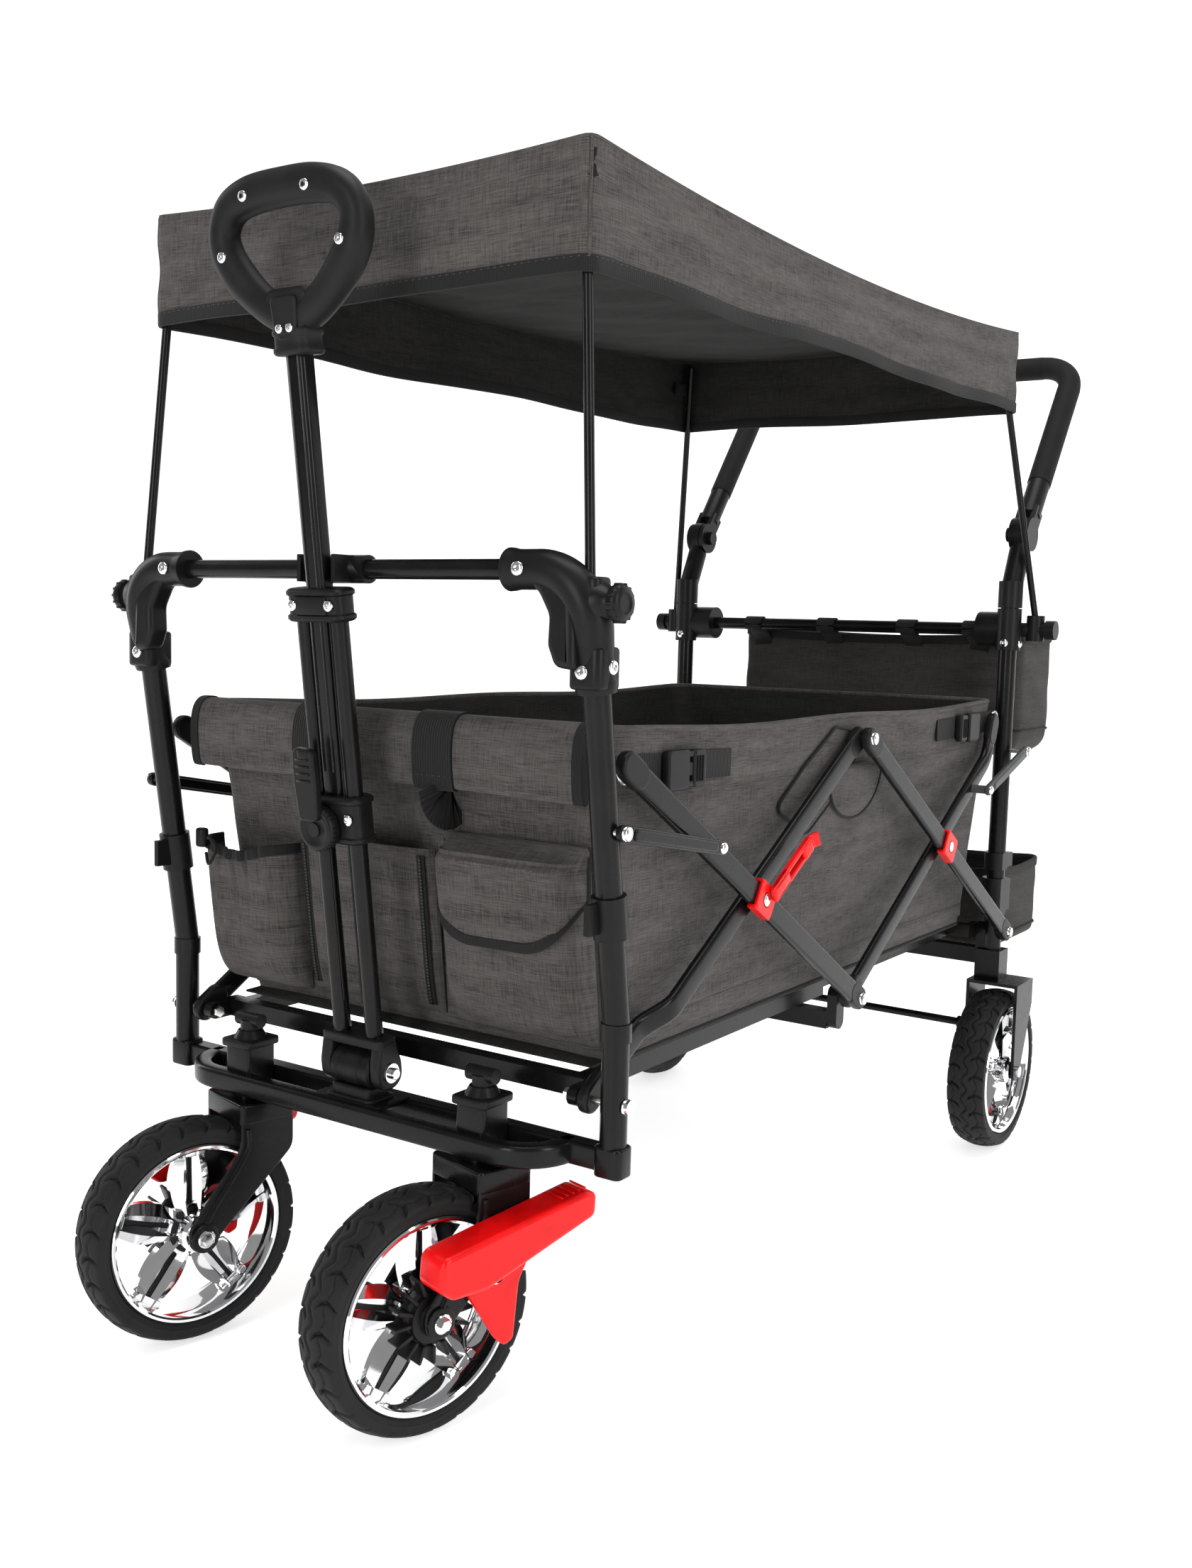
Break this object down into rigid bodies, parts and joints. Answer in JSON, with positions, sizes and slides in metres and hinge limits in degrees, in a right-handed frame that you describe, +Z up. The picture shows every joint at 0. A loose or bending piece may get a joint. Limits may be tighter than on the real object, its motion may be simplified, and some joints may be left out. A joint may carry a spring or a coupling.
{
  "type": "folding pull wagon",
  "caption": "Folding scissor-frame pull wagon with a fabric basket, a sun roof on poles, a telescopic pull bar, a rear push handle and swivel front casters.",
  "frame": {"origin": "on the ground, under the middle of the wagon's outer box", "axes": "+X to the wagon's right-hand side seen from behind, +Y to the rear (push handle), +Z up"},
  "size_m": [0.578, 1.3096, 1.0256],
  "materials": {
    "frame_black": "satin",
    "plastic_black": "matte",
    "red_plastic": "gloss",
    "steel": "polished",
    "rim_chrome": "polished",
    "tyre_rubber": "matte",
    "foam": "matte",
    "fabric_grey": "matte"
  },
  "bodies": {
    "front_frame": {"front_posts": "frame_black", "front_lower_frame": "frame_black", "front_elbows": "plastic_black", "front_crossbar": "frame_black", "front_clamps": "plastic_black", "front_pivot_bolts": "steel", "front_poles": "frame_black", "pull_pivot_base": "plastic_black", "basket": "fabric_grey", "roof": "fabric_grey"},
    "bars_b": {"scissor_front_inner": "frame_black", "rivets_front": "steel"},
    "bars_a": {"scissor_front_outer": "frame_black", "front_clips": "red_plastic"},
    "bars_c": {"scissor_rear_outer": "frame_black", "rear_clips": "red_plastic"},
    "bars_d": {"scissor_rear_inner": "frame_black", "rivets_middle": "steel", "mid_crossbar": "frame_black"},
    "rear_frame": {"rear_posts": "frame_black", "rear_lower_frame": "frame_black", "rear_clamps": "plastic_black", "rear_crossbar": "frame_black", "rear_poles": "frame_black", "rear_bag": "fabric_grey", "rear_basket": "fabric_grey", "push_sleeves": "plastic_black", "rear_bolts": "steel", "rivets_rear": "steel"},
    "floor_front": {"floor_frame_front": "frame_black"},
    "floor_rear": {"floor_frame_rear": "frame_black"},
    "front_stays": {"front_stays": "frame_black"},
    "rear_stays": {"rear_stays": "frame_black"},
    "latch_left": {"latch_lever_left": "red_plastic"},
    "latch_right": {"latch_lever_right": "red_plastic"},
    "lock_left": {"swivel_pin_left": "plastic_black"},
    "lock_right": {"swivel_pin_right": "plastic_black"},
    "caster_left": {"caster_fork_left": "frame_black", "front_axle_bolts_left": "steel"},
    "caster_right": {"caster_fork_right": "frame_black", "front_axle_bolts_right": "steel"},
    "pedal_left": {"caster_pedal_left": "red_plastic"},
    "pedal_right": {"caster_pedal_right": "red_plastic"},
    "wheel_front_left": {"tyre_front_left": "tyre_rubber", "rim_front_left": "rim_chrome"},
    "wheel_front_right": {"tyre_front_right": "tyre_rubber", "rim_front_right": "rim_chrome"},
    "wheel_rear_left": {"tyre_rear_left": "tyre_rubber", "rim_rear_left": "rim_chrome"},
    "wheel_rear_right": {"tyre_rear_right": "tyre_rubber", "rim_rear_right": "rim_chrome"},
    "rear_brake": {"brake_bar": "red_plastic"},
    "pull_bar": {"pull_frame": "frame_black"},
    "pull_inner": {"pull_slider": "frame_black", "pull_grip": "plastic_black"},
    "pull_catch": {"pull_lever": "plastic_black"},
    "push_bar": {"push_handle": "plastic_black", "push_grip": "foam"},
    "button_left": {"push_button_left": "plastic_black"},
    "button_right": {"push_button_right": "plastic_black"}
  },
  "joints": [
    {"name": "fold", "type": "hinge", "parent": "front_frame", "child": "bars_b", "pos_m": [0, -0.47273, 0.272], "axis": [1, 0, 0], "range_deg": [0, 40.22], "deforming": ["basket", "roof"]},
    {"name": "front_cross_pivot", "type": "hinge", "parent": "bars_b", "child": "bars_a", "pos_m": [0, -0.24773, 0.406], "axis": [1, 0, 0], "range_deg": [-80.49, 0]},
    {"name": "mid_top_pivot", "type": "hinge", "parent": "bars_b", "child": "bars_c", "pos_m": [0, -0.02273, 0.54], "axis": [1, 0, 0], "range_deg": [-80.49, 0]},
    {"name": "rear_cross_pivot", "type": "hinge", "parent": "bars_c", "child": "bars_d", "pos_m": [0, 0.20227, 0.406], "axis": [1, 0, 0], "range_deg": [0, 80.49]},
    {"name": "rear_pivot", "type": "hinge", "parent": "bars_c", "child": "rear_frame", "pos_m": [0, 0.42727, 0.272], "axis": [1, 0, 0], "range_deg": [0, 40.24]},
    {"name": "floor_front_pivot", "type": "hinge", "parent": "front_frame", "child": "floor_front", "pos_m": [0, -0.47273, 0.272], "axis": [1, 0, 0], "range_deg": [0, 67.77]},
    {"name": "floor_rear_pivot", "type": "hinge", "parent": "rear_frame", "child": "floor_rear", "pos_m": [0, 0.42727, 0.272], "axis": [1, 0, 0], "range_deg": [-67.77, 0]},
    {"name": "front_stay_pivot", "type": "hinge", "parent": "front_frame", "child": "front_stays", "pos_m": [0, -0.49739, 0.49136], "axis": [1, 0, 0], "range_deg": [0, 71.97]},
    {"name": "rear_stay_pivot", "type": "hinge", "parent": "rear_frame", "child": "rear_stays", "pos_m": [0, 0.42727, 0.50331], "axis": [1, 0, 0], "range_deg": [-85.87, 0]},
    {"name": "latch_left", "type": "hinge", "parent": "bars_a", "child": "latch_left", "pos_m": [-0.2626, -0.23999, 0.4106], "axis": [0, -0.5117, 0.8592], "range_deg": [0, 25]},
    {"name": "latch_right", "type": "hinge", "parent": "bars_a", "child": "latch_right", "pos_m": [0.2626, -0.23999, 0.4106], "axis": [0, 0.5117, -0.8592], "range_deg": [0, 25]},
    {"name": "swivel_lock_left", "type": "slide", "parent": "front_frame", "child": "lock_left", "axis": [0, 0, 1], "range_m": [0, 0.008]},
    {"name": "caster_swivel_left", "type": "hinge", "parent": "front_frame", "child": "caster_left", "pos_m": [-0.135, -0.49673, 0], "axis": [0, 0, 1], "continuous": true},
    {"name": "front_wheel_spin_left", "type": "hinge", "parent": "caster_left", "child": "wheel_front_left", "pos_m": [-0.15105, -0.55661, 0.1], "axis": [0.9659, -0.2588, 0], "continuous": true},
    {"name": "caster_brake_left", "type": "hinge", "parent": "caster_left", "child": "pedal_left", "pos_m": [-0.13888, -0.51121, 0.128], "axis": [0.9659, -0.2588, 0], "range_deg": [0, 14]},
    {"name": "swivel_lock_right", "type": "slide", "parent": "front_frame", "child": "lock_right", "axis": [0, 0, 1], "range_m": [0, 0.008]},
    {"name": "caster_swivel_right", "type": "hinge", "parent": "front_frame", "child": "caster_right", "pos_m": [0.135, -0.49673, 0], "axis": [0, 0, 1], "continuous": true},
    {"name": "front_wheel_spin_right", "type": "hinge", "parent": "caster_right", "child": "wheel_front_right", "pos_m": [0.11895, -0.55661, 0.1], "axis": [0.9659, -0.2588, 0], "continuous": true},
    {"name": "caster_brake_right", "type": "hinge", "parent": "caster_right", "child": "pedal_right", "pos_m": [0.13112, -0.51121, 0.128], "axis": [0.9659, -0.2588, 0], "range_deg": [0, 14]},
    {"name": "rear_wheel_spin_left", "type": "hinge", "parent": "rear_frame", "child": "wheel_rear_left", "pos_m": [-0.25, 0.40527, 0.1], "axis": [1, 0, 0], "continuous": true},
    {"name": "rear_wheel_spin_right", "type": "hinge", "parent": "rear_frame", "child": "wheel_rear_right", "pos_m": [0.25, 0.40527, 0.1], "axis": [1, 0, 0], "continuous": true},
    {"name": "rear_brake_pivot", "type": "hinge", "parent": "rear_frame", "child": "rear_brake", "pos_m": [0, 0.42527, 0.15], "axis": [1, 0, 0], "range_deg": [-25, 0]},
    {"name": "pull_bar_pivot", "type": "hinge", "parent": "front_frame", "child": "pull_bar", "pos_m": [0, -0.49473, 0.262], "axis": [1, 0, 0], "range_deg": [0, 75]},
    {"name": "pull_slide", "type": "slide", "parent": "pull_bar", "child": "pull_inner", "axis": [0, -0.1323, 0.9912], "range_m": [-0.165, 0.13]},
    {"name": "pull_catch_turn", "type": "hinge", "parent": "pull_inner", "child": "pull_catch", "pos_m": [-0.006, -0.52329, 0.4761], "axis": [0, -0.9912, -0.1323], "range_deg": [-15, 15]},
    {"name": "push_bar_pivot", "type": "hinge", "parent": "rear_frame", "child": "push_bar", "pos_m": [0, 0.46227, 0.775], "axis": [1, 0, 0], "range_deg": [-50, 30]},
    {"name": "push_button_left", "type": "slide", "parent": "push_bar", "child": "button_left", "axis": [-1, 0, 0], "range_m": [0, 0.004], "stiffness_N_per_m": 200},
    {"name": "push_button_right", "type": "slide", "parent": "push_bar", "child": "button_right", "axis": [1, 0, 0], "range_m": [0, 0.004], "stiffness_N_per_m": 200}
  ],
  "couplings": [
    {"joint": "front_cross_pivot", "follows": "fold", "ratio": -2},
    {"joint": "mid_top_pivot", "follows": "fold", "ratio": -2},
    {"joint": "rear_cross_pivot", "follows": "fold", "ratio": 2},
    {"joint": "rear_pivot", "follows": "fold", "ratio": 1},
    {"joint": "floor_front_pivot", "follows": "fold", "ratio": 1.6839},
    {"joint": "floor_rear_pivot", "follows": "fold", "ratio": -1.6839},
    {"joint": "front_stay_pivot", "follows": "fold", "ratio": 1.7883},
    {"joint": "rear_stay_pivot", "follows": "fold", "ratio": -2.1338}
  ]
}
